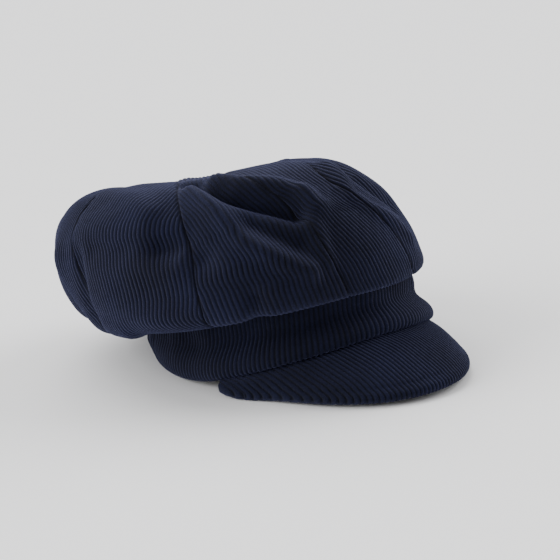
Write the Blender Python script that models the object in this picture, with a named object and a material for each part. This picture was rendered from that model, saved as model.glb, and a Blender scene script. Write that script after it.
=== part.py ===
import bpy
import math
import numpy as np

for item in list(bpy.data.objects):
    bpy.data.objects.remove(item, do_unlink=True)

mm = 0.001

# driving sizes, all in metres
openingLength = 196 * mm      # outside of the band, front to back, at its lower rim
openingWidth = 168 * mm       # outside of the band, side to side, at its lower rim
bandHeight = 49 * mm
bandTopInset = 4 * mm         # how far the band leans inward at its top, front and back
bandSideInset = 10 * mm       # the same at the sides
bandRearLean = 14 * mm        # the soft back of the band leans backward
frontRise = 13 * mm           # the lower rim is cut higher over the forehead
rearRise = 4 * mm
shellThickness = 2.0 * mm     # wide rib cloth with its backing
liningThickness = 0.5 * mm
interfacingThickness = 0.8 * mm
sweatbandThickness = 1.2 * mm
sweatbandHeight = 35 * mm
elasticThickness = 1.6 * mm
elasticHeight = 32 * mm
peakDepth = 52 * mm
peakSpan = 74                 # degrees each side of the front
peakBoardThickness = 1.8 * mm
peakBoardInset = 6 * mm
peakDrop = 15 * mm
peakSideDrop = 19 * mm
peakCamber = 0.30
peakRoundness = 1.9           # 2 is an ellipse in plan, less is more pointed
seamGap = 0.3 * mm
backPieceHalfAngle = 62       # degrees each side of the back
goreCount = 8
crownTwist = -10              # degrees, the soft crown is turned a little on the band
restTilt = 5.8                # degrees, front up, standing on the peak and the back rim
apexRadius = 3.0 * mm

ovalPower = 2.2
# the crown hangs over the band by the same amount whatever the opening, so it grows with the opening
addedLength = openingLength / 2 - 98 * mm
addedWidth = openingWidth / 2 - 84 * mm
clothPair = (shellThickness + liningThickness) / mm   # the fold at the lip is as wide as its cloth needs

# crown levels from the lip upward: centre x, centre y, front length, rear length,
# right half width, left half width, then heights over the band top at front, rear, right, left
crownLevels = [
    (-2, 4, 102, 104, 84, 79, -0.5, -3, -2.5, -0.5),
    (-6, 12, 118, 132, 106, 91, -8, -23, -18, -9),
    (-10, 19, 121 + 6 * clothPair, 150 + 6 * clothPair, 108 + 6 * clothPair, 91 + 6 * clothPair, 2, -23, -6, -1),
    (-14, 28, 132, 170, 126, 103, 41, 17, 31, 29),
    (-18, 38, 112, 147, 111, 92, 74, 61, 73, 63),
    (-22, 52, 82, 90, 69, 66, 84, 73, 83, 77),
    (-26, 64, 46, 34, 30, 32, 74, 67, 73, 71),
    (-28, 66, 0, 0, 0, 0, 65, 65, 65, 65),
]

clothColour = (0.012, 0.016, 0.032, 1)
liningColour = (0.02, 0.022, 0.035, 1)


def ovalDirection(angle, power):
    # unit superellipse, angle 0 at the front, growing toward the wearer's left
    across = np.sin(angle)
    along = np.cos(angle)
    stretch = (np.abs(across) ** power + np.abs(along) ** power) ** (-1 / power)
    return across * stretch, along * stretch


def bandPoint(angle, level, inset):
    # angle in radians, level 0 at the lower rim and 1 at the top, inset inward from the outside
    angle = np.asarray(angle, float)
    level = np.asarray(level, float)
    across, along = ovalDirection(angle, ovalPower)
    toFront = np.clip(np.cos(angle), 0, 1) ** 2
    toRear = np.clip(-np.cos(angle), 0, 1) ** 2
    halfLength = openingLength / 2 - bandTopInset * level - inset
    halfWidth = openingWidth / 2 - bandSideInset * level - inset
    rim = frontRise * toFront + rearRise * toRear
    x = halfWidth * across
    y = -halfLength * along + bandRearLean * level * toRear
    z = rim + (bandHeight - rim * 0.4) * level
    return np.stack([x, y, z], -1)


def splineWeights(count, place):
    # weights of a clamped cubic B-spline with this many control rows
    degree = 3
    inner = np.linspace(0, 1, count - degree + 1)
    knots = np.concatenate([np.zeros(degree), inner, np.ones(degree)])
    place = np.clip(np.asarray(place, float), 0, 1 - 1e-9)
    rows = [((place >= knots[i]) & (place < knots[i + 1])).astype(float) for i in range(len(knots) - 1)]
    for step in range(1, degree + 1):
        following = []
        for i in range(len(knots) - 1 - step):
            left = knots[i + step] - knots[i]
            right = knots[i + step + 1] - knots[i + 1]
            value = 0 * place
            if left > 0:
                value = value + (place - knots[i]) / left * rows[i]
            if right > 0:
                value = value + (knots[i + step + 1] - place) / right * rows[i + 1]
            following.append(value)
        rows = following
    return np.stack(rows, -1)


def crownControls(angle):
    toFront = np.clip(np.cos(angle), 0, 1) ** 2
    toRear = np.clip(-np.cos(angle), 0, 1) ** 2
    toLeft = np.clip(np.sin(angle), 0, 1) ** 2
    toRight = np.clip(-np.sin(angle), 0, 1) ** 2
    lift = np.array([0, 0, seamGap * 1.2])
    rows = [bandPoint(angle, 1.0, shellThickness) + lift]
    rows.append(bandPoint(angle, 1.0, -4 * mm) + lift * 2.5)
    for level in crownLevels:
        across, along = ovalDirection(angle, 2.0)
        length = np.where(np.cos(angle) > 0, level[2], level[3]) * mm + addedLength * (level[2] > 0)
        width = np.where(np.sin(angle) > 0, level[5], level[4]) * mm + addedWidth * (level[4] > 0)
        height = level[6] * toFront + level[7] * toRear + level[8] * toRight + level[9] * toLeft
        x = level[0] * mm + width * across
        y = level[1] * mm - length * along
        rows.append(np.stack([x, y, bandHeight + height * mm], -1))
    return np.stack(rows, 0)


def crownPoint(angle, place):
    # angle and place have the same shape, place 0 at the band seam and 1 at the apex
    angle = np.asarray(angle, float)
    place = np.asarray(place, float)
    controls = crownControls(angle.ravel())
    weights = splineWeights(len(controls), place.ravel())
    return np.einsum("pk,kpc->pc", weights, controls).reshape(angle.shape + (3,))


def crownNormal(angle, place):
    stepAngle = 0.004
    stepPlace = 0.002
    low = np.clip(place - stepPlace, 0, 1)
    high = np.clip(place + stepPlace, 0, 1)
    aroundVector = crownPoint(angle + stepAngle, place) - crownPoint(angle - stepAngle, place)
    upVector = crownPoint(angle, high) - crownPoint(angle, low)
    normal = np.cross(aroundVector, upVector)
    return normal / np.linalg.norm(normal, axis=-1, keepdims=True)


def standing(points):
    # tip the cap so that it stands on the peak and on the back of its rim
    tilt = math.radians(restTilt)
    x = points[..., 0]
    y = points[..., 1] * math.cos(tilt) + points[..., 2] * math.sin(tilt)
    z = -points[..., 1] * math.sin(tilt) + points[..., 2] * math.cos(tilt)
    return np.stack([x, y, z], -1)


pieces = []


def addPiece(name, loops, closedAcross):
    # loops is (stations, ring points, 3); the ends are capped unless the stations close on themselves
    stations, ring = loops.shape[0], loops.shape[1]
    verts = standing(loops).reshape(-1, 3)
    faces = []
    last = stations if closedAcross else stations - 1
    for i in range(last):
        following = (i + 1) % stations
        for j in range(ring):
            side = (j + 1) % ring
            corners = [i * ring + j, i * ring + side, following * ring + side, following * ring + j]
            if j == ring - 1:
                corners = corners[1:] + corners[:1]
            faces.append((corners[0], corners[1], corners[2]))
            faces.append((corners[0], corners[2], corners[3]))
    if not closedAcross:
        # each end is a strip between the outer half and the inner half of the ring
        half = ring // 2
        for start, flip in ((0, False), ((stations - 1) * ring, True)):
            for j in range(half - 1):
                corners = (start + j, start + ring - 1 - j, start + ring - 2 - j, start + j + 1)
                faces.append(tuple(reversed(corners)) if flip else corners)
    pieces.append((name, verts, faces))


def signedVolume(verts, faces):
    total = 0.0
    for face in faces:
        for k in range(1, len(face) - 1):
            a, b, c = verts[face[0]], verts[face[k]], verts[face[k + 1]]
            total += float(np.dot(a, np.cross(b, c))) / 6
    return total


def crownPiece(name, index, columns, depthOut, depthIn):
    # one gore between two seams, as an outer and an inner skin offset from the crown surface
    step = 2 * math.pi / goreCount
    start = math.radians(crownTwist) + index * step
    places = np.concatenate([np.linspace(0, 0.36, 13), np.linspace(0.36, 0.96, 13)[1:], [0.98, 0.99, 0.996]])
    probe = np.full(places.shape, start + step / 2)
    across = crownPoint(probe + 0.01, places) - crownPoint(probe - 0.01, places)
    radius = np.linalg.norm(across, axis=-1) / 0.02
    keep = radius > apexRadius
    places = places[keep]
    radius = radius[keep]
    trim = seamGap * 0.75 / radius
    loops = []
    for place, cut in zip(places, trim):
        angles = np.linspace(start + cut, start + step - cut, columns + 1)
        level = np.full(angles.shape, place)
        surface = crownPoint(angles, level)
        normal = crownNormal(angles, level)
        outer = surface - normal * depthOut
        inner = surface - normal * depthIn
        loops.append(np.concatenate([outer, inner[::-1]], 0))
    addPiece(name, np.stack(loops, 0), False)


def bandPiece(name, fromDegrees, toDegrees, columns, levels, insetOut, insetIn, closed):
    angles = np.radians(np.linspace(fromDegrees, toDegrees, columns + 1))
    if closed:
        angles = angles[:-1]
    loops = []
    for angle in angles:
        outer = bandPoint(np.full(len(levels), angle), np.array(levels), insetOut)
        inner = bandPoint(np.full(len(levels), angle), np.array(levels), insetIn)
        loops.append(np.concatenate([outer, inner[::-1]], 0))
    addPiece(name, np.stack(loops, 0), closed)


def peakOutline(turn):
    corner = bandPoint(math.radians(peakSpan), 0.0, 0.0)
    power = peakRoundness
    across = math.sin(turn)
    along = math.cos(turn)
    reach = openingLength / 2 + peakDepth + corner[1]
    share = abs(along) ** (2 / power)
    x = (corner[0] - 3 * mm * math.sin(2 * abs(turn))) * math.copysign(abs(across) ** (2 / power), across)
    y = corner[1] - reach * share
    front = -peakDrop + (peakDrop - peakSideDrop) * across ** 2
    z = corner[2] * (1 - math.sqrt(share)) + math.sqrt(share) * front
    return np.array([x, y, z])


def peakLine(place):
    # inner and outer end of one front-to-back line on the peak, place -1 to 1 across the front
    inner = bandPoint(place * math.radians(peakSpan), 0.0, shellThickness)
    outer = peakOutline(place * math.pi / 2)
    inner = inner - np.array([0, 0, seamGap * 1.2])
    return inner, outer


def peakPoint(place, share):
    inner, outer = peakLine(place)
    point = inner * (1 - share) + outer * share
    length = np.linalg.norm((outer - inner)[:2])
    return point + np.array([0, 0, peakCamber * length * share * (1 - share)])


def peakNormal(place, share):
    low = max(-0.995, place - 0.01)
    high = min(0.995, place + 0.01)
    across = peakPoint(high, share) - peakPoint(low, share)
    along = peakPoint(place, min(1, share + 0.02)) - peakPoint(place, max(0, share - 0.02))
    normal = np.cross(along, across)
    normal = normal / np.linalg.norm(normal)
    return normal if normal[2] > 0 else -normal


def peakPiece(name, spread, columns, outerProfile):
    # outerProfile gives, for one line's length, a ring of (distance from the inner end, depth)
    loops = []
    for place in np.linspace(-spread, spread, columns + 1):
        inner, outer = peakLine(place)
        length = float(np.linalg.norm(outer - inner))
        ring = []
        for distance, depth in outerProfile(length):
            share = distance / length
            ring.append(peakPoint(place, share) - peakNormal(place, min(1.0, share)) * depth)
        loops.append(np.stack(ring, 0))
    addPiece(name, np.stack(loops, 0), False)


peakTotal = 2 * shellThickness + peakBoardThickness + 2 * seamGap
peakMiddle = peakTotal / 2


def coverRing(length, top, rim, edge):
    # top is the skin's outer depth, rim +1 when the rim turns down and -1 when it turns up
    wall = shellThickness
    outEnd = length - 1.4 * mm
    inEnd = length - wall - 0.8 * mm
    outside = [(outEnd * k / 4, top) for k in range(5)]
    outside += [(length - 0.2 * mm, top + rim * 0.9 * mm), (length, edge)]
    inside = [(length - wall, edge), (length - wall, top + rim * (wall + 0.1 * mm))]
    inside += [(inEnd * k / 4, top + rim * wall) for k in (4, 3, 2, 1, 0)]
    return outside + inside


def topCoverRing(length):
    # over the board, around the outer edge and down to the edge seam
    return coverRing(length, 0.0, 1, peakMiddle - seamGap / 2)


def underCoverRing(length):
    return coverRing(length, peakTotal, -1, peakMiddle + seamGap / 2)


def boardRing(length):
    top = shellThickness + seamGap
    low = top + peakBoardThickness
    end = length - max(peakBoardInset * length / peakDepth, shellThickness + 0.6 * mm)
    start = 1.0 * mm
    spots = [start + (end - start) * k / 4 for k in range(5)]
    return [(spot, top) for spot in spots] + [(spot, low) for spot in reversed(spots)]


for index in range(goreCount):
    crownPiece("crown_gore_" + str(index + 1), index, 6, 0.0, shellThickness)
for index in range(goreCount):
    low = shellThickness + 1.3 * seamGap
    crownPiece("lining_gore_" + str(index + 1), index, 6, low, low + liningThickness)

frontEnd = 180 - backPieceHalfAngle
seamDegrees = math.degrees(seamGap / (openingWidth / 2)) * 0.6
bandPiece("band_front", -frontEnd + seamDegrees, frontEnd - seamDegrees, 44,
          [0, 0.25, 0.5, 0.75, 1], 0.0, shellThickness, False)
bandPiece("band_back", frontEnd + seamDegrees, 360 - frontEnd - seamDegrees, 24,
          [0, 0.25, 0.5, 0.75, 1], 0.0, shellThickness, False)
innerStart = shellThickness + seamGap
layerEnd = innerStart + interfacingThickness
bandPiece("band_interfacing", -frontEnd + 2, frontEnd - 2, 44,
          [0.05, 0.5, 0.95], innerStart, layerEnd, False)
elasticSpan = elasticHeight / bandHeight
bandPiece("back_elastic", frontEnd + 2, 358 - frontEnd, 24,
          [0.5 - elasticSpan / 2, 0.5, 0.5 + elasticSpan / 2], innerStart, innerStart + elasticThickness, False)
sweatInset = innerStart + max(interfacingThickness, elasticThickness) + seamGap * 1.5
sweatTop = 0.02 + sweatbandHeight / bandHeight
bandPiece("sweatband", -179.8, 179.8, 64,
          [0.02, 0.02 + (sweatTop - 0.02) / 2, sweatTop], sweatInset, sweatInset + sweatbandThickness, False)

peakPiece("peak_top_cover", 0.94, 36, topCoverRing)
peakPiece("peak_board", 0.90, 34, boardRing)
peakPiece("peak_under_cover", 0.94, 36, underCoverRing)

everything = np.concatenate([verts for name, verts, faces in pieces], 0)
lowCorner = everything.min(0)
highCorner = everything.max(0)
middle = (lowCorner + highCorner) / 2
shift = np.array([middle[0], middle[1], lowCorner[2]])
print("shift to the standing frame", [round(float(v), 6) for v in shift])
print("box size", [round(float(v), 5) for v in highCorner - lowCorner])

looks = {
    "crown_gore": ("rib cloth", clothColour, 0.9),
    "band_front": ("band cloth", clothColour, 0.9),
    "band_back": ("band cloth", clothColour, 0.9),
    "peak_top": ("peak cloth", clothColour, 0.9),
    "peak_under": ("peak cloth", clothColour, 0.9),
    "lining": ("lining cloth", liningColour, 0.6),
    "sweatband": ("sweatband tape", (0.03, 0.03, 0.04, 1), 0.7),
    "back_elastic": ("elastic tape", (0.7, 0.7, 0.68, 1), 0.8),
    "band_interfacing": ("stiff backing", (0.75, 0.74, 0.7, 1), 0.9),
    "peak_board": ("peak board plastic", (0.6, 0.6, 0.58, 1), 0.5),
}

holder = bpy.data.objects.new("newsboy_cap", None)
bpy.context.scene.collection.objects.link(holder)
for name, verts, faces in pieces:
    placed = verts - shift
    if signedVolume(placed, faces) < 0:
        faces = [tuple(reversed(face)) for face in faces]
    mesh = bpy.data.meshes.new(name)
    mesh.from_pydata([tuple(float(v) for v in vert) for vert in placed], [], faces)
    mesh.update()
    body = bpy.data.objects.new(name, mesh)
    bpy.context.scene.collection.objects.link(body)
    body.parent = holder
    key = next(word for word in looks if name.startswith(word))
    title, colour, rough = looks[key]
    material = bpy.data.materials.new(title + " " + name)
    material.use_nodes = True
    shader = material.node_tree.nodes["Principled BSDF"]
    shader.inputs["Base Color"].default_value = colour
    shader.inputs["Roughness"].default_value = rough
    mesh.materials.append(material)
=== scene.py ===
import math
import bmesh
import bpy
import numpy as np
from mathutils import Matrix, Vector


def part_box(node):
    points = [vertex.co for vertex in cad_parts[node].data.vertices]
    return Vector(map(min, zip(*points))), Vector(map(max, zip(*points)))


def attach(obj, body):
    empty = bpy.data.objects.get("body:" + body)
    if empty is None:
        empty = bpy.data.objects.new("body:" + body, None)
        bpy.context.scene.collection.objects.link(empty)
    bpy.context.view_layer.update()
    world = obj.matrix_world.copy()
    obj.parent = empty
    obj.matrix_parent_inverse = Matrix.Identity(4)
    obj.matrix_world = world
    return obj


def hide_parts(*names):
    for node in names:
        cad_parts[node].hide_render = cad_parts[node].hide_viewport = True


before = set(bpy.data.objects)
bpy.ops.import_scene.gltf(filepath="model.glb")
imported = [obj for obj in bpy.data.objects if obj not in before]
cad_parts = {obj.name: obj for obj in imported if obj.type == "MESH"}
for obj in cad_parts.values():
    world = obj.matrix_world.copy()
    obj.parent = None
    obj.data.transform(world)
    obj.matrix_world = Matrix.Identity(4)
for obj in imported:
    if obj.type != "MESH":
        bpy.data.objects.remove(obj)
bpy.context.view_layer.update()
mm = 0.001

capSize = {
    "halfLength": 98 * mm,
    "halfWidth": 84 * mm,
    "bandHeight": 49 * mm,
    "topInset": 4 * mm,
    "sideInset": 10 * mm,
    "rearLean": 14 * mm,
    "frontRise": 13 * mm,
    "rearRise": 4 * mm,
    "riseLoss": 0.4,        # share of the rise that the band's top doesn't follow
    "ovalPower": 2.2,       # 2 is an ellipse, more is squarer
    "seamGap": 0.36 * mm,
    "tilt": 5.8,            # degrees, front up, as the cap stands on a table
    "centreAlong": -24.666 * mm,
    "centreUp": 6.03 * mm,
    "ribPitch": 3.3 * mm,
    "ribDepth": 0.85 * mm,
    "ribPower": 2.6,        # more makes the grooves narrower
    "ribSteps": 6,          # mesh columns to one rib
}

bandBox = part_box("band_front")
# where the middle of the band's rim stands in the frame
headCentre = np.array([
    (bandBox[0][0] + bandBox[1][0]) / 2, capSize["centreAlong"], capSize["centreUp"]])


def toRow(points):
    tilt = math.radians(capSize["tilt"])
    x = points[..., 0]
    y = points[..., 1] * math.cos(tilt) + points[..., 2] * math.sin(tilt)
    z = -points[..., 1] * math.sin(tilt) + points[..., 2] * math.cos(tilt)
    return np.stack([x, y, z], -1) + headCentre


def oval(angle, power):
    across = np.sin(angle)
    along = np.cos(angle)
    stretch = (np.abs(across) ** power + np.abs(along) ** power) ** (-1 / power)
    return across * stretch, along * stretch


def smooth(value, low, high):
    part = np.clip((value - low) / (high - low), 0, 1)
    return part * part * (3 - 2 * part)


def bump(value, centre, width):
    return np.exp(-((value - centre) / width) ** 2)


def unit(vectors):
    return vectors / np.maximum(np.linalg.norm(vectors, axis=-1, keepdims=True), 1e-12)


def runAlong(line):
    return np.concatenate([[0], np.cumsum(np.linalg.norm(np.diff(line, axis=0), axis=1))])


def signedDegrees(angle):
    return (np.degrees(angle) + 180) % 360 - 180


def bandPoint(angle, level, outward=0.0):
    # angle 0 at the front and growing toward the wearer's left, level 0 at the rim and 1 at the top
    angle = np.asarray(angle, float)
    level = np.asarray(level, float)
    across, along = oval(angle, capSize["ovalPower"])
    toFront = np.clip(np.cos(angle), 0, 1) ** 2
    toRear = np.clip(-np.cos(angle), 0, 1) ** 2
    reach = capSize["halfLength"] - capSize["topInset"] * level + outward
    width = capSize["halfWidth"] - capSize["sideInset"] * level + outward
    rim = capSize["frontRise"] * toFront + capSize["rearRise"] * toRear
    x = width * across
    y = -reach * along + capSize["rearLean"] * level * toRear
    z = rim + (capSize["bandHeight"] - rim * capSize["riseLoss"]) * level
    return np.stack([x, y, z], -1)


# levels of the crown from its lip to its middle: centre x, centre y, length to the front, length to the
# rear, half width right, half width left, then heights over the band at the front, rear, right and left
crownLevels = [
    (-2, 4, 102, 104, 84, 79, -0.5, -3, -2.5, -0.5),
    (-6, 12, 118, 132, 106, 91, -8, -23, -18, -9),
    (-10, 19, 136, 165, 123, 106, 2, -23, -6, -1),
    (-14, 28, 132, 170, 126, 103, 41, 17, 31, 29),
    (-18, 38, 112, 147, 111, 92, 74, 61, 73, 63),
    (-22, 52, 82, 90, 69, 66, 84, 73, 83, 77),
    (-26, 64, 46, 34, 30, 32, 74, 67, 73, 71),
    (-28, 66, 0, 0, 0, 0, 65, 65, 65, 65),
]


def splineWeights(count, place):
    degree = 3
    knots = np.concatenate([np.zeros(degree), np.linspace(0, 1, count - degree + 1), np.ones(degree)])
    place = np.clip(np.asarray(place, float), 0, 1 - 1e-9)
    rows = [((place >= knots[i]) & (place < knots[i + 1])).astype(float) for i in range(len(knots) - 1)]
    for step in range(1, degree + 1):
        following = []
        for i in range(len(knots) - 1 - step):
            left = knots[i + step] - knots[i]
            right = knots[i + step + 1] - knots[i + 1]
            value = 0 * place
            if left > 0:
                value = value + (place - knots[i]) / left * rows[i]
            if right > 0:
                value = value + (knots[i + step + 1] - place) / right * rows[i + 1]
            following.append(value)
        rows = following
    return np.stack(rows, -1)


def crownBase(angle, place):
    shape = np.broadcast(angle, place).shape
    angle = np.broadcast_to(angle, shape).ravel()
    place = np.broadcast_to(place, shape).ravel()
    toFront = np.clip(np.cos(angle), 0, 1) ** 2
    toRear = np.clip(-np.cos(angle), 0, 1) ** 2
    toLeft = np.clip(np.sin(angle), 0, 1) ** 2
    toRight = np.clip(-np.sin(angle), 0, 1) ** 2
    lift = np.array([0, 0, capSize["seamGap"]])
    weights = splineWeights(len(crownLevels) + 2, place)
    # the first two rows lie on the band's top, so that the lip turns out over it
    total = weights[:, 0:1] * (bandPoint(angle, 1.0, -2 * mm) + lift)
    total = total + weights[:, 1:2] * (bandPoint(angle, 1.0, 4 * mm) + lift * 2.5)
    across, along = oval(angle, 2.0)
    for index, level in enumerate(crownLevels):
        length = np.where(np.cos(angle) > 0, level[2], level[3])
        width = np.where(np.sin(angle) > 0, level[5], level[4])
        height = level[6] * toFront + level[7] * toRear + level[8] * toRight + level[9] * toLeft
        x = (level[0] + width * across) * mm
        y = (level[1] - length * along) * mm
        z = capSize["bandHeight"] + height * mm
        total = total + weights[:, index + 2:index + 3] * np.stack([x, y, z], -1)
    return total.reshape(shape + (3,))


# soft folds: height in mm (minus for a hollow), half width in mm, then points as (degrees, place)
crownFolds = [
    (-5.0, 14.0, [(-112, 0.51), (-112, 0.42)]),
    (4.5, 12.0, [(-112, 0.335), (-90, 0.33)]),
    (-4.5, 22.0, [(-121, 0.80), (-119, 0.70)]),
    (-3.6, 19.0, [(100, 0.90), (145, 0.86), (172, 0.85)]),
    (-10.8, 6.8, [(-40, 0.80), (-35, 0.76), (-30, 0.71), (-24, 0.68), (-18, 0.65), (-13, 0.62)]),
    (5.0, 7.0, [(-30, 0.79), (-21, 0.74), (-14, 0.71), (-8, 0.67), (-6, 0.62)]),
    (6.0, 6.5, [(-40, 0.75), (-37, 0.70), (-34, 0.64), (-31, 0.58), (-25, 0.53), (-18, 0.48)]),
    (-4.5, 9.0, [(-27, 0.62), (-22, 0.58), (-18, 0.55)]),
    (3.5, 5.5, [(-8, 0.66), (-10, 0.60), (-11, 0.55), (-12, 0.49)]),
    (3.5, 6.5, [(17, 0.74), (9, 0.64), (15, 0.59), (23, 0.55), (30, 0.50)]),
    (-4.5, 8.0, [(26, 0.74), (24, 0.69), (27, 0.65), (36, 0.59)]),
    (-6.5, 11.0, [(-56, 0.61), (-48, 0.61), (-45, 0.57)]),
    (-3.0, 10.0, [(-84, 0.62), (-66, 0.61), (-55, 0.60)]),
    (-3.4, 7.5, [(-93, 0.60), (-94, 0.54), (-97, 0.48), (-100, 0.41)]),
    (2.6, 11.0, [(-106, 0.60), (-108, 0.52), (-110, 0.43)]),
    (3.0, 9.0, [(-84, 0.80), (-66, 0.76), (-58, 0.70)]),
    (-3.5, 7.0, [(-36, 0.44), (-38, 0.38), (-40, 0.33)]),
    (-6.0, 7.0, [(110, 0.86), (120, 0.74), (116, 0.62)]),
    (4.0, 9.0, [(95, 0.80), (100, 0.70), (96, 0.60)]),
    (-6.0, 8.0, [(178, 0.84), (170, 0.72), (176, 0.58), (168, 0.48)]),
    (4.0, 10.0, [(150, 0.76), (146, 0.64), (152, 0.52)]),
    (-5.0, 8.0, [(62, 0.84), (66, 0.72), (60, 0.60), (66, 0.50)]),
    (4.0, 9.0, [(206, 0.80), (204, 0.68), (210, 0.56)]),
    (-4.0, 7.0, [(228, 0.78), (224, 0.68), (230, 0.58)]),
]


def pathDistance(points, path):
    best = np.full(points.shape[:-1], 1e9)
    for start, end in zip(path[:-1], path[1:]):
        line = end - start
        share = np.clip(((points - start) @ line) / (line @ line), 0, 1)
        gap = np.linalg.norm(points - start - share[..., None] * line, axis=-1)
        best = np.minimum(best, gap)
    return best


foldPaths = []
for height, width, spots in crownFolds:
    angles = np.radians(np.array([spot[0] for spot in spots], float))
    places = np.array([spot[1] for spot in spots], float)
    fine = np.linspace(0, len(spots) - 1, len(spots) * 3)
    angles = np.interp(fine, np.arange(len(spots)), angles)
    places = np.interp(fine, np.arange(len(spots)), places)
    foldPaths.append((height * mm, width * mm, crownBase(angles, places)))


crownSoft = {
    "slackIn": 2.2 * mm,       # how far the slack cloth sinks
    "wander": 0.9 * mm,
    "fineWander": 0.6,
    "tableStep": 0.004,        # steps in angle and place that the normals are taken over
    "levelStep": 0.002,
    "placeStep": 0.003,
}


def crownSwell(base, angle, place):
    total = np.zeros(base.shape[:-1])
    for height, width, path in foldPaths:
        total = total + height * np.exp(-(pathDistance(base, path) / width) ** 2)
    slack = smooth(place, 0.25, 0.5) * (1 - smooth(place, 0.93, 1.0))
    wander = np.sin(angle * 5 + place * 9) * np.sin(place * 17 + angle * 2 + 1)
    fine = np.sin(angle * 11 - place * 14 + 2) * np.sin(place * 29 + angle * 3)
    wander = wander + crownSoft["fineWander"] * fine
    return total + (wander * crownSoft["wander"] - crownSoft["slackIn"]) * slack


# how far the first four seams slew round the crown where the folds pull the cloth, as (place, degrees);
# the first seam stands at firstSeam, the next ones a gore further on, and the others don't slew
firstSeam = -100
seamSlew = [
    [(0.30, 0), (0.40, -2), (0.50, 6), (0.60, 4), (0.69, 4), (0.745, 13), (0.85, 12), (1.0, 0)],
    [(0.30, 0), (0.36, 0), (0.46, 4), (0.52, 5.5), (0.58, 7), (0.63, 8), (0.72, 9), (0.88, 8),
     (1.0, 0)],
    [(0.30, 0), (0.44, 0), (0.565, -2), (0.635, -1), (0.68, -4), (0.74, -13), (0.85, -12), (1.0, 0)],
    [(0.30, -8), (0.41, -13), (0.49, -12), (0.565, -19), (0.63, -26), (0.70, -30), (0.85, -18),
     (1.0, 0)],
]


def warped(angle, place):
    gores = crown["gores"]
    turn = (np.degrees(angle) - firstSeam) / (360 / gores) % gores
    shape = np.broadcast(angle, place).shape
    slews = np.zeros((gores + 1,) + shape)
    for index, spots in enumerate(seamSlew):
        spots = np.array(spots)
        for nearby in (-0.045, -0.015, 0.015, 0.045):
            near = np.broadcast_to(place, shape) + nearby
            slews[index] += np.interp(near, spots[:, 0], spots[:, 1]) / 4
    slews[gores] = slews[0]
    turn = np.broadcast_to(turn, shape)
    lower = np.floor(turn).astype(int) % gores
    share = turn - np.floor(turn)
    first = np.take_along_axis(slews, lower[None], 0)[0]
    second = np.take_along_axis(slews, lower[None] + 1, 0)[0]
    return angle + np.radians(first * (1 - share) + second * share)


def crownSurface(angle, place, depth=0.0):
    # depth moves the surface inward; returns points and outward normals in the head's frame
    angle = warped(angle, place)
    step = crownSoft["tableStep"]

    def normalOf(surface, turn, level, levelStep):
        aside = surface(turn + step, level) - surface(turn - step, level)
        above = surface(turn, np.clip(level + levelStep, 0, 1))
        below = surface(turn, np.clip(level - levelStep, 0, 1))
        return unit(np.cross(aside, above - below))

    def swollen(turn, level):
        level = np.clip(level, 0, 1)
        base = crownBase(turn, level)
        normal = normalOf(crownBase, turn, level, crownSoft["levelStep"])
        return base + normal * crownSwell(base, turn, level)[..., None]

    middle = swollen(angle, place)
    normal = normalOf(swollen, angle, place, crownSoft["placeStep"])
    return middle - normal * depth, normal


def ribShape(distance, pitch):
    # rounded ribs with narrow grooves, 0 in a groove and 1 on a crest
    part = np.abs(distance / pitch - np.round(distance / pitch))
    return 1 - (1 - 2 * part) ** capSize["ribPower"]


def meshObject(name, points, faces, values=None):
    mesh = bpy.data.meshes.new(name)
    mesh.vertices.add(len(points))
    mesh.vertices.foreach_set("co", np.asarray(points, np.float32).ravel())
    faces = np.asarray(faces, np.int32)
    mesh.loops.add(faces.size)
    mesh.loops.foreach_set("vertex_index", faces.ravel())
    mesh.polygons.add(len(faces))
    mesh.polygons.foreach_set("loop_start", np.arange(0, faces.size, faces.shape[1], dtype=np.int32))
    mesh.update(calc_edges=True)
    mesh.validate()
    for title, numbers in (values or {}).items():
        layer = mesh.attributes.new(title, "FLOAT", "POINT")
        layer.data.foreach_set("value", np.asarray(numbers, np.float32).ravel())
    mesh.shade_smooth()
    piece = bpy.data.objects.new(name, mesh)
    bpy.context.scene.collection.objects.link(piece)
    return piece


def gridFaces(rows, columns):
    index = np.arange(rows * columns).reshape(rows, columns)
    corners = [index[:-1, :-1], index[:-1, 1:], index[1:, 1:], index[1:, :-1]]
    return np.stack(corners, -1).reshape(-1, 4)


def gridArea(points):
    aside = points[1:, :-1] - points[:-1, :-1]
    along = points[:-1, 1:] - points[:-1, :-1]
    return float(np.linalg.norm(np.cross(aside, along), axis=-1).sum())


class Wire:
    # a shader socket that can be used in sums
    def __init__(self, socket):
        self.socket = socket

    def combine(self, operation, first, second):
        tree = self.socket.id_data
        node = tree.nodes.new("ShaderNodeMath")
        node.operation = operation
        for place, value in enumerate((first, second)):
            if isinstance(value, Wire):
                tree.links.new(value.socket, node.inputs[place])
            else:
                node.inputs[place].default_value = value
        return Wire(node.outputs[0])

    def __add__(self, other):
        return self.combine("ADD", self, other)

    def __radd__(self, other):
        return self.combine("ADD", other, self)

    def __sub__(self, other):
        return self.combine("SUBTRACT", self, other)

    def __rsub__(self, other):
        return self.combine("SUBTRACT", other, self)

    def __mul__(self, other):
        return self.combine("MULTIPLY", self, other)

    def __rmul__(self, other):
        return self.combine("MULTIPLY", other, self)

    def __pow__(self, other):
        return self.combine("POWER", self, other)

    def __gt__(self, other):
        return self.combine("GREATER_THAN", self, other)


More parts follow.
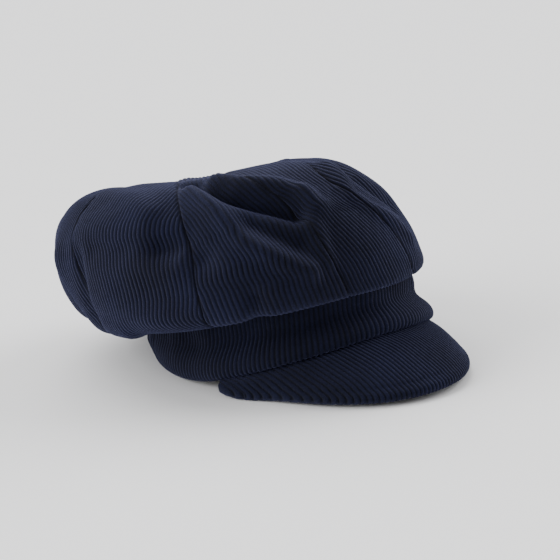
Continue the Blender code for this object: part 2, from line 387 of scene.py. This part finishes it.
class Finish:
    # one material and the nodes it is made of
    def __init__(self, name):
        self.material = bpy.data.materials.new(name)
        self.material.use_nodes = True
        self.tree = self.material.node_tree
        self.shader = self.tree.nodes["Principled BSDF"]

    def node(self, kind, settings=None, sockets=None, output=0):
        made = self.tree.nodes.new(kind)
        for key, value in (settings or {}).items():
            setattr(made, key, value)
        for key, value in (sockets or {}).items():
            if isinstance(value, Wire):
                self.tree.links.new(value.socket, made.inputs[key])
            else:
                made.inputs[key].default_value = value
        return Wire(made.outputs[output])

    def mix(self, factor, first, second, blend="MIX"):
        settings = {"data_type": "RGBA", "blend_type": blend, "clamp_result": False}
        return self.node("ShaderNodeMix", settings, {0: factor, 6: first, 7: second}, 2)

    def noise(self, place, scale, detail):
        sockets = {"Vector": place, "Scale": scale, "Detail": detail}
        return self.node("ShaderNodeTexNoise", sockets=sockets)

    def raised(self, height, strength, distance):
        sockets = {"Strength": strength, "Distance": distance, "Height": height}
        self.feed("Normal", self.node("ShaderNodeBump", sockets=sockets))

    def feed(self, key, value):
        if isinstance(value, Wire):
            self.tree.links.new(value.socket, self.shader.inputs[key])
        else:
            self.shader.inputs[key].default_value = value


pileLook = {
    # painted shade: the groove colour is far darker than the crest and stands in for the shade in the
    # rib grooves
    "shadedGroove": (0.0001, 0.0002, 0.0007, 1),
    "crest": (0.0019, 0.0029, 0.0135, 1),
    # worn pile, partly a painted highlight: this colour lightens the rib crests in cloudy patches
    "wornHighlight": (0.0068, 0.0090, 0.0305, 1),
    "lint": (0.30, 0.33, 0.42, 1),
    "roughness": 0.92,
    "sheen": 0.17,
    "sheenRoughness": 0.45,
    "sheenTint": (0.42, 0.46, 1.0, 1),
    "specular": 0.18,
    "cloudScale": 22.0,
    "fleckScale": 900.0,
    "tuftScale": 2600.0,
    "speckScale": 75.0,
    "speckSize": 0.022,
    "speckShare": 0.72,      # only cells above this carry a speck of lint
    "crestPower": 1.6,
    "bump": 0.8,
    "bumpHeight": 0.6 * mm,
}


def corduroy(name, wearHighlight):
    finish = Finish(name)
    place = finish.node("ShaderNodeTexCoord", output=3)
    rib = finish.node("ShaderNodeAttribute", {"attribute_name": "rib"}, output=2)
    # mask for the painted shade along the seams
    seamShade = finish.node("ShaderNodeAttribute", {"attribute_name": "seamShade"}, output=2)
    cloud = finish.noise(place, pileLook["cloudScale"], 4.0)
    fleck = finish.noise(place, pileLook["fleckScale"], 3.0)
    tuft = finish.noise(place, pileLook["tuftScale"], 2.0)
    cells = {"Vector": place, "Scale": pileLook["speckScale"], "Randomness": 1.0}
    speck = finish.node("ShaderNodeTexVoronoi", sockets=cells)
    cell = finish.node("ShaderNodeTexVoronoi", sockets=cells, output=1)
    pick = finish.node("ShaderNodeTexWhiteNoise", {"noise_dimensions": "3D"}, {"Vector": cell})
    # painted shade in the rib grooves: the base colour falls to the dark groove colour where rib is 0
    base = finish.mix(rib ** pileLook["crestPower"], pileLook["shadedGroove"], pileLook["crest"])
    # worn pile on the crests, partly a painted highlight: the crests turn lighter in cloudy patches
    rubbedHighlight = (cloud - 0.42) * 2.2 * rib * wearHighlight
    rubbedHighlight = finish.node("ShaderNodeClamp", sockets={"Value": rubbedHighlight})
    base = finish.mix(rubbedHighlight, base, pileLook["wornHighlight"])
    # painted shade: up to 0.3 darker along the seams and where the peak meets the band; fleck varies
    # the tone at random
    shade = (0.35 + 1.3 * fleck) * (1 - 0.3 * seamShade)
    tone = {"Red": shade, "Green": shade, "Blue": shade}
    base = finish.mix(1.0, base, finish.node("ShaderNodeCombineColor", sockets=tone), "MULTIPLY")
    lint = ((pileLook["speckSize"] - speck) > 0.0) * (pick > pileLook["speckShare"])
    base = finish.mix(lint * 0.75, base, pileLook["lint"])
    finish.feed("Base Color", base)
    finish.feed("Roughness", pileLook["roughness"])
    finish.feed("Sheen Weight", pileLook["sheen"])
    finish.feed("Sheen Roughness", pileLook["sheenRoughness"])
    finish.feed("Sheen Tint", pileLook["sheenTint"])
    finish.feed("Specular IOR Level", pileLook["specular"])
    finish.raised(fleck * 0.6 + tuft * 0.4, pileLook["bump"], pileLook["bumpHeight"])
    return finish.material


def wovenCloth(name, dark, light, scale, roughness, sheen=0.15):
    finish = Finish(name)
    place = finish.node("ShaderNodeTexCoord", output=3)
    threads = {"Vector": place, "Scale": scale, "Distortion": 0.6, "Detail": 1.0}
    warp = finish.node("ShaderNodeTexWave", {"bands_direction": "X"}, threads)
    weft = finish.node("ShaderNodeTexWave", {"bands_direction": "Z"}, threads)
    cloud = finish.noise(place, 30.0, 4.0)
    weave = warp * weft
    finish.feed("Base Color", finish.mix(weave * 0.6 + cloud * 0.4, dark, light))
    finish.feed("Roughness", roughness)
    finish.feed("Sheen Weight", sheen)
    finish.raised(weave, 0.35, 0.2 * mm)
    return finish.material


def seatCloth(piece, material, nodes):
    piece.data.materials.append(material)
    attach(piece, "root")
    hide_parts(*nodes)


# the second number sets how much worn pile and painted highlight the crests get
crownCloth = corduroy("crown corduroy", 1.0)
bandCloth = corduroy("band corduroy", 0.7)
peakCloth = corduroy("peak corduroy", 0.8)
# name, dark and light colour, threads, roughness, sheen
liningCloth = wovenCloth(
    "lining satin", (0.010, 0.011, 0.018, 1), (0.030, 0.032, 0.048, 1), 900, 0.42, 0.2)
tapeCloth = wovenCloth(
    "sweatband grosgrain", (0.006, 0.006, 0.009, 1), (0.022, 0.023, 0.030, 1), 500, 0.75, 0.2)
print("finishes made")

crown = {
    "gores": 8,
    "twist": -10,        # degrees the gores are turned on the band
    "rowStep": 2.0 * mm,
    "lastPlace": 0.9995,
    "seamDip": 0.55 * mm,
    "seamWidth": 0.8 * mm,
    "puff": 0.9 * mm,
    "seamShare": 1.02,
    "spare": 1.1,
    # the ribs lie closer together where the cloth is drawn in
    "tension": [0.88, 0.96, 1.0, 1.0, 1.0, 1.0, 0.98, 1.0],
    # which seam each gore's ribs follow: 1 the first, -1 the second, 0 its own middle
    "skew": [-0.2, 0.1, -0.1, 0.15, -0.1, 0.1, 0.55, -0.6],
}


def placesAlong(angle, first, last, step):
    fine = np.linspace(first, last, 600)
    run = runAlong(crownSurface(np.full(fine.shape, angle), fine)[0])
    count = int(run[-1] / step)
    return np.interp(np.linspace(0, run[-1], count + 1), run, fine)


def goreGrid(index, places, columnStep, depth, pitch, dip):
    turn = 2 * math.pi / crown["gores"]
    start = math.radians(crown["twist"]) + index * turn
    probe = np.linspace(0, 1, 25)
    grid = crownSurface(start + probe[None, :] * turn, np.repeat(places[:, None], 25, 1))[0]
    gap = np.linalg.norm(np.diff(grid, axis=1), axis=-1)
    run = np.concatenate([np.zeros((len(places), 1)), np.cumsum(gap, 1)], 1)
    width = run[:, -1]
    half = width.max() / 2
    count = int(math.ceil(half / columnStep))
    across = np.arange(-count, count + 1) * columnStep
    shares = np.empty((len(places), len(across)))
    held = np.empty_like(shares)
    for row in range(len(places)):
        held[row] = np.clip(across, -width[row] / 2, width[row] / 2)
        shares[row] = np.interp(held[row] + width[row] / 2, run[row], probe)
    angle = start + shares * turn
    level = np.repeat(places[:, None], len(across), 1)
    points, normal = crownSurface(angle, level, depth)
    edge = width[:, None] / 2 - np.abs(held)     # distance to the nearest seam
    middle = 1 - (2 * np.abs(held) / np.maximum(width[:, None], 1e-6)) ** 2
    lift = -dip * np.exp(-(edge / crown["seamWidth"]) ** 2)
    full = smooth(level, 0.2, 0.4) * (1 - smooth(level, 0.85, 1.0))
    lift = lift + crown["puff"] * (dip > 0) * middle * full
    rib = np.zeros_like(edge)
    if pitch:
        pitch = pitch * crown["tension"][index]
        shift = (index * 0.37 % 1) * pitch
        drift = crown["skew"][index] * width[:, None] / 2
        rib = ribShape(held + drift + shift, pitch) * (0.2 + 0.8 * smooth(edge, 0.0, 1.2 * mm))
        lift = lift + capSize["ribDepth"] * rib
    points = points + normal * lift[..., None]
    faces = gridFaces(*edge.shape)
    flat = held.ravel()
    rowOf = np.repeat(np.arange(len(places)), len(across))
    outside = np.abs(np.tile(across, len(places))) >= width[rowOf] / 2 - 1e-9
    # columns past the seam fold onto it and are dropped
    dead = outside[faces].all(1) & (np.abs(flat[faces[:, 0]] - flat[faces[:, 1]]) < 1e-7)
    dead = dead & (np.abs(flat[faces[:, 3]] - flat[faces[:, 2]]) < 1e-7)
    # mask for the painted shade along the seam, fed to the colour
    seamShade = np.exp(-(edge / crown["seamWidth"]) ** 2)
    return points, faces[~dead], rib, seamShade, width


def weldPiece(piece):
    form = bmesh.new()
    form.from_mesh(piece.data)
    bmesh.ops.remove_doubles(form, verts=form.verts, dist=0.02 * mm)
    loose = [vert for vert in form.verts if not vert.link_faces]
    bmesh.ops.delete(form, geom=loose, context="VERTS")
    form.to_mesh(piece.data)
    form.free()
    piece.data.shade_smooth()


def gorePlaces(index, first, rowStep):
    centre = math.radians(crown["twist"] + (index + 0.5) * 360 / crown["gores"])
    return placesAlong(centre, first, crown["lastPlace"], rowStep)


columnStep = capSize["ribPitch"] / capSize["ribSteps"]
for index in range(crown["gores"]):
    places = gorePlaces(index, 0.0, crown["rowStep"])
    points, faces, rib, seamShade, width = goreGrid(
        index, places, columnStep, 0.0, capSize["ribPitch"], crown["seamDip"])
    piece = meshObject("crown_panel_" + str(index + 1), toRow(points).reshape(-1, 3), faces,
                       {"rib": rib, "seamShade": seamShade})
    weldPiece(piece)
    seatCloth(piece, crownCloth, ["crown_gore_" + str(index + 1)])
print("crown panels made")

band = {
    "frontHalf": 118,      # degrees each side of the front to the side seams
    "gap": 0.12,
    "rowStep": 1.4 * mm,
    "cutHeight": 66 * mm,  # with the turns at the rim and the top
    "slouch": 8.0 * mm,    # the soft side swings outward under the crown
    "sag": 4.0 * mm,
    "leftFlat": -4.2 * mm,
    "rearFull": 9.0 * mm,
    "sideFull": 3.0 * mm,
    "unevenness": 0.7 * mm,
    "seamDepth": 1.0 * mm,
    "gather": 1.6 * mm,
    "gatherPitch": 11 * mm,
    "crumples": [          # height, half width in degrees, then from and to as (degrees, level)
        (1.6 * mm, 4.5, (30, 0.95), (46, 0.20)), (-1.3 * mm, 4.0, (38, 0.90), (55, 0.25)),
        (1.4 * mm, 4.0, (62, 0.85), (54, 0.22)), (1.2 * mm, 7.0, (-6, 0.95), (4, 0.35)),
        (-1.1 * mm, 6.0, (-52, 0.90), (-60, 0.30)), (1.5 * mm, 6.0, (-86, 0.85), (-76, 0.15)),
        (-1.3 * mm, 5.0, (92, 0.90), (100, 0.20)), (1.4 * mm, 6.0, (-104, 0.80), (-98, 0.15))],
    "profile": [           # level, distance outward in mm, how much of it goes with the roll
        (0.12, -3.4, 0), (0.03, -3.2, 0), (0.0, -2.0, 0), (0.0, 0.8, 1), (0.02, 3.4, 1),
        (0.09, 5.3, 1), (0.19, 5.2, 1), (0.29, 1.9, 1), (0.38, -2.2, 0), (0.50, -2.2, 0),
        (0.66, 0.6, 0), (0.84, 0.0, 0), (1.0, -1.0, 0)],
}


def bandEase(angle, level):
    # the band isn't a true oval on the table: flatter at the left front, fuller at the right rear
    degrees = signedDegrees(angle)
    ease = band["leftFlat"] * bump(degrees, 58, 30) * smooth(level, -0.3, 0.5)
    ease = ease + band["rearFull"] * bump(degrees, -142, 20) * (1 - smooth(level, 0.45, 0.95))
    ease = ease + band["sideFull"] * bump(degrees, -112, 24) * (1 - smooth(level, 0.3, 0.8))
    for height, width, start, end in band["crumples"]:
        share = np.clip((level - start[1]) / (end[1] - start[1]), 0, 1)
        line = start[0] + (end[0] - start[0]) * share
        ease = ease + height * bump(degrees, line, width) * bump(share, 0.5, 0.42)
    return ease


def bandSheet(name, first, last, nodes):
    spots = np.array(band["profile"], float)
    weights = splineWeights(len(spots), np.linspace(0, 1, int(band["cutHeight"] / band["rowStep"])))
    level = (weights @ spots[:, 0])[:, None]
    swell = (weights @ spots[:, 1])[:, None] * mm
    rolled = (weights @ spots[:, 2])[:, None]
    probe = np.radians(np.linspace(first, last, 400))
    run = runAlong(bandPoint(probe, 0.3))
    count = int(run[-1] / columnStep)
    run = run - run[-1] / 2
    along = np.linspace(run[0], run[-1], count + 1)
    angle = np.interp(along, run, probe)[None, :]
    degrees = signedDegrees(angle)
    rear = smooth(np.abs(degrees), 112, 140)
    roll = 1 - 0.55 * smooth(np.abs(degrees), 80, 130)
    outward = swell * (rolled * roll + (1 - rolled))
    hang = smooth(level, 0.0, 0.5) * (1 - smooth(level, 0.78, 1.0))
    outward = outward + band["slouch"] * bump(degrees, -125, 34) * hang
    outward = outward + band["unevenness"] * np.sin(angle * 9 + level * 3) * np.sin(level * math.pi)
    outward = outward + bandEase(angle, level)
    ripple = np.sin(along[None, :] / band["gatherPitch"] * 2 * math.pi + 1.2 * np.sin(level * 5))
    loose = rear * smooth(level, 0.05, 0.3) * (1 - smooth(level, 0.75, 0.95))
    outward = outward + band["gather"] * ripple * loose
    shape = outward.shape
    grid = bandPoint(np.broadcast_to(angle, shape), np.broadcast_to(level, shape), outward)
    low = (1 - np.clip(level, 0, 1)) ** 3
    drop = band["sag"] * (bump(degrees, -88, 26) + 0.5 * bump(degrees, 95, 30)) * low
    grid[..., 2] -= drop
    normal = unit(np.cross(np.gradient(grid, axis=1), np.gradient(grid, axis=0)))
    outside = np.cumsum(weights @ spots[:, 1] > -2.2)[:, None] > 0
    rib = ribShape(np.broadcast_to(along[None, :], shape), capSize["ribPitch"]) * outside
    end = np.minimum(along - run[0], run[-1] - along)[None, :]
    # mask for the painted shade at the band's side seams; it also sinks the seam
    seamShade = np.exp(-(end / (1.2 * mm)) ** 2) + 0 * level
    lift = capSize["ribDepth"] * rib - band["seamDepth"] * seamShade
    grid = grid + normal * lift[..., None]
    piece = meshObject(name, toRow(grid).reshape(-1, 3), gridFaces(*shape),
                       {"rib": rib, "seamShade": seamShade})
    seatCloth(piece, bandCloth, nodes)


frontEnd = band["frontHalf"] - band["gap"]
rearStart = band["frontHalf"] + band["gap"]
bandSheet("band_outer", -frontEnd, frontEnd, ["band_front"])
bandSheet("band_rear", rearStart, 360 - rearStart, ["band_back"])
print("band made")

peak = {
    "depth": 52 * mm,
    "span": 74,            # degrees each side of the front
    "drop": 15 * mm,
    "sideDrop": 19 * mm,
    "camber": 0.30,
    "roundness": 2.0,
    "half": 2.95 * mm,     # half the thickness of both covers and the board
    "ends": 0.975,
    "step": 0.40 * mm,
    "ribPitch": 2.75 * mm,
    "draw": 0.085,         # how far the ribs are drawn inward, as a share of their length
    "boardInset": 8 * mm,
    "boardStep": 0.5 * mm,
    "unevenness": 0.5 * mm,
    "rows": 96,
    "turnAllowance": 6 * mm,
    "rightCorner": (8 * mm, 5 * mm, 2 * mm),   # the corner on the wearer's right is this much fuller
}


def peakInner(place):
    rim = bandPoint(place * math.radians(peak["span"]), 0.0, -2 * mm)
    return rim - np.array([0, 0, capSize["seamGap"]])


def peakOuter(place):
    turn = place * math.pi / 2
    corner = bandPoint(np.radians(peak["span"]), 0.0)
    power = peak["roundness"]
    across = np.sin(turn)
    share = np.abs(np.cos(turn)) ** (2 / power)
    reach = corner[0] - 3 * mm * np.sin(2 * np.abs(turn))
    x = reach * np.sign(across) * np.abs(across) ** (2 / power)
    y = corner[1] - (capSize["halfLength"] + peak["depth"] + corner[1]) * share
    front = -peak["drop"] + (peak["drop"] - peak["sideDrop"]) * across ** 2
    z = corner[2] * (1 - np.sqrt(share)) + np.sqrt(share) * front
    fuller = bump(place, -0.96, 0.15)
    return np.stack([x, y, z], -1) - np.asarray(fuller)[..., None] * np.array(peak["rightCorner"])


def peakSurface(place, share):
    inner = peakInner(place)
    outer = peakOuter(place)
    part = share[..., None]
    length = np.linalg.norm((outer - inner)[..., :2], axis=-1)
    point = inner * (1 - part) + outer * part
    point[..., 2] += peak["camber"] * length * share * (1 - share)
    return point


def peakRibs(across):
    # the ribs are counted across the middle of the peak
    place = np.linspace(-1, 1, 801)
    line = peakSurface(place, np.full(place.shape, 0.55))
    run = runAlong(line[:, [0, 2]])
    order = np.argsort(line[:, 0])
    span = line[order, 0]
    counted = (run - run[len(place) // 2])[order]
    beyond = across - np.clip(across, span[0], span[-1])
    return np.interp(across, span, counted) + beyond


def peakSheet(name, underside, nodes):
    fine = np.linspace(-peak["ends"], peak["ends"], 900)
    run = runAlong(peakOuter(fine))
    count = int(run[-1] / peak["step"])
    place = np.interp(np.linspace(0, run[-1], count + 1), run, fine)
    length = np.linalg.norm(peakOuter(place) - peakInner(place), axis=-1)
    body = peak["rows"]
    # the covers draw nearer to each other toward the corners
    half = peak["half"] * (0.6 + 0.4 * smooth(length, 5 * mm, 22 * mm))
    flatPart = (length - half)[None, :] * np.linspace(0, 1, body)[:, None] / length[None, :]
    # each cover is turned over the front edge, the upper one further
    turns = (np.linspace(1.0, 0.72, 7) if underside else np.linspace(0.0, 0.78, 13))[1:, None] * math.pi
    turned = (length - half + half * np.sin(turns)) / length[None, :]
    share = np.concatenate([flatPart, turned], 0)
    flatDepth = np.broadcast_to(2 * half if underside else 0 * half, flatPart.shape)
    depth = np.concatenate([flatDepth, half - half * np.cos(turns) + 0 * place], 0)
    where = np.broadcast_to(place, share.shape)
    base = peakSurface(where, share)
    onward = peakSurface(np.clip(where + 0.004, -1, 1), share)
    aside = onward - peakSurface(np.clip(where - 0.004, -1, 1), share)
    along = peakSurface(where, share + 0.01) - peakSurface(where, share - 0.01)
    normal = unit(np.cross(along, aside))
    normal = normal * np.where(normal[..., 2:3] < 0, -1, 1)
    # the cloth steps down past the edge of the board
    fromEdge = (1 - share) * length[None, :]
    inset = peak["boardInset"]
    step = peak["boardStep"] * (1 - smooth(fromEdge, inset - 1.6 * mm, inset + 1.2 * mm))
    step = step * (0 if underside else 1) * smooth(length[None, :], 12 * mm, 25 * mm)
    sway = np.sin(where * 7 + share * 4) * np.sin(share * 5 + where * 3)
    sway = peak["unevenness"] * sway * smooth(share, 0.1, 0.4)
    grid = base - normal * depth[..., None] + normal * (sway - step)[..., None]
    out = unit(np.cross(np.gradient(grid, axis=0), np.gradient(grid, axis=1)))
    if (out[body // 2, count // 2, 2] < 0) != underside:
        out = -out
    # they run from the band to the front edge, drawn a little inward on the wearer's right
    drawn = peak["draw"] * (1 - where) * share * length[None, :]
    rib = ribShape(peakRibs(grid[..., 0] - drawn), peak["ribPitch"])
    # mask for the painted shade along the peak's seam to the band
    seamShade = np.exp(-(share * length[None, :] / (1.6 * mm)) ** 2)
    grid = grid + out * (capSize["ribDepth"] * rib)[..., None]
    faces = gridFaces(*share.shape)
    if not underside:
        faces = faces[:, ::-1]
    piece = meshObject(name, toRow(grid).reshape(-1, 3), faces, {"rib": rib, "seamShade": seamShade})
    size = (float(run[-1]), float(length.max() + peak["turnAllowance"]))
    area = min(gridArea(base) * 1.1, size[0] * size[1])
    seatCloth(piece, peakCloth, nodes)


peakSheet("peak_cover", False, ["peak_top_cover"])
peakSheet("peak_underside", True, ["peak_under_cover"])
print("peak made")

inside = {
    "liningDepth": 3.4 * mm,
    "liningFirst": 0.004,
    "liningStep": 3.2 * mm,
    "liningRows": 4.0 * mm,
    "liningSpare": 1.05,
    "sweatInset": 5.3 * mm,
    "sweatLow": 0.02,
    "sweatHeight": 35 * mm,
    "stiffenerInset": 3.6 * mm,
    "elasticInset": 4.5 * mm,
}

for index in range(crown["gores"]):
    places = gorePlaces(index, inside["liningFirst"], inside["liningRows"])
    points, faces, _, _, width = goreGrid(
        index, places, inside["liningStep"], inside["liningDepth"], 0, 0.0)
    piece = meshObject("lining_panel_" + str(index + 1), toRow(points).reshape(-1, 3), faces[:, ::-1])
    weldPiece(piece)
    seatCloth(piece, liningCloth, ["lining_gore_" + str(index + 1)])
print("lining made")


def ringStrip(name, first, last, insets, levels, columns, material, nodes):
    # one row of points for each inset and level
    turn = np.radians(np.linspace(first, last, columns))[None, :]
    inset = np.array(insets, float)[:, None] + 0 * turn
    level = np.array(levels, float)[:, None] + 0 * turn
    angle = turn + 0 * inset
    grid = bandPoint(angle, level, bandEase(angle, level) - inset)
    piece = meshObject(name, toRow(grid).reshape(-1, 3), gridFaces(*inset.shape)[:, ::-1])
    seatCloth(piece, material, nodes)


sweatTop = inside["sweatLow"] + inside["sweatHeight"] / capSize["bandHeight"]
ringStrip("sweatband_tape", -179.8, 179.8,
          [4.4 * mm, 4.6 * mm, inside["sweatInset"], 5.5 * mm, 5.5 * mm, 5.3 * mm, 4.8 * mm],
          [0.06, 0.005, 0.004, 0.03, sweatTop * 0.5, sweatTop, sweatTop + 0.01],
          360, tapeCloth, ["sweatband"])
# painted shade: the stiffener and elastic are coloured near black, so where they show inside the band
# they read as the shade there
backing = wovenCloth("stiff backing", (0.020, 0.020, 0.024, 1), (0.045, 0.045, 0.052, 1), 300, 0.9)
rubberTape = wovenCloth("elastic tape", (0.012, 0.012, 0.016, 1), (0.035, 0.035, 0.042, 1), 700, 0.8)
ringStrip("band_stiffener", -116, 116, [inside["stiffenerInset"]] * 9, np.linspace(0.08, 0.92, 9),
          260, backing, ["band_interfacing"])
ringStrip("rear_elastic", 121, 239, [inside["elasticInset"]] * 9, np.linspace(0.18, 0.82, 9),
          160, rubberTape, ["back_elastic"])

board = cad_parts["peak_board"]
boardFinish = Finish("peak board sheet")
grain = boardFinish.noise(boardFinish.node("ShaderNodeTexCoord", output=3), 260.0, 3.0)
boardFinish.feed("Base Color", boardFinish.mix(
    grain, (0.014, 0.014, 0.017, 1), (0.032, 0.032, 0.037, 1)))
boardFinish.feed("Roughness", 0.55)
boardFinish.raised(grain, 0.2, 0.2 * mm)
board.data.materials.clear()
board.data.materials.append(boardFinish.material)
print("inside made")

studio = {
    "azimuth": 33.20,
    "elevation": 13.64,
    "roll": -6.37,
    "distance": 0.9106,
    "lens": 85,
    "farClip": 400,
    "target": (0.01436, -0.02313, 0.05236),
    "floor": 60.0,           # half its side
    "floorDrop": 1.8 * mm,   # the lowest point of the cloth
    "lightAngle": 55,
    "skyStrength": 0.55,
}

corners = np.array([(-1, -1, 0), (1, -1, 0), (1, 1, 0), (-1, 1, 0)], float)
corners = corners * studio["floor"] - np.array([0, 0, studio["floorDrop"]])
floorMesh = meshObject("studio_floor", corners, [(0, 1, 2, 3)])
floorFinish = Finish("pale floor")
floorFinish.feed("Base Color", (0.93, 0.93, 0.94, 1))
floorFinish.feed("Roughness", 0.9)
floorMesh.data.materials.append(floorFinish.material)

world = bpy.data.worlds.new("studio")
bpy.context.scene.world = world
world.use_nodes = True
sky = world.node_tree.nodes["Background"].inputs
sky["Color"].default_value = (1.0, 1.0, 1.0, 1)
sky["Strength"].default_value = studio["skyStrength"]


def softLight(name, azimuth, elevation, strength):
    lamp = bpy.data.lights.new(name, "SUN")
    lamp.energy = strength
    lamp.angle = math.radians(studio["lightAngle"])
    holder = bpy.data.objects.new(name, lamp)
    bpy.context.scene.collection.objects.link(holder)
    # azimuth 0 shines from the front, growing toward the wearer's left
    holder.rotation_euler = (math.radians(90 - elevation), 0, math.radians(azimuth))


softLight("key light", -115, 26, 3.0)
softLight("fill light", 75, 30, 2.2)
softLight("back light", 170, 55, 2.2)

camera = bpy.data.cameras.new("camera")
camera.lens = studio["lens"]
camera.clip_end = studio["farClip"]
cameraHolder = bpy.data.objects.new("camera", camera)
bpy.context.scene.collection.objects.link(cameraHolder)
az = math.radians(studio["azimuth"])
el = math.radians(studio["elevation"])
turn = math.radians(studio["roll"])
back = np.array([-math.sin(az) * math.cos(el), -math.cos(az) * math.cos(el), math.sin(el)])
right = np.array([math.cos(az), -math.sin(az), 0.0])
up = np.cross(back, right)
rightTurned = right * math.cos(turn) + up * math.sin(turn)
upTurned = up * math.cos(turn) - right * math.sin(turn)
place = np.array(studio["target"]) + back * studio["distance"]
cameraHolder.matrix_world = Matrix((
    (rightTurned[0], upTurned[0], back[0], place[0]),
    (rightTurned[1], upTurned[1], back[1], place[1]),
    (rightTurned[2], upTurned[2], back[2], place[2]),
    (0, 0, 0, 1)))
bpy.context.scene.camera = cameraHolder
print("studio made")
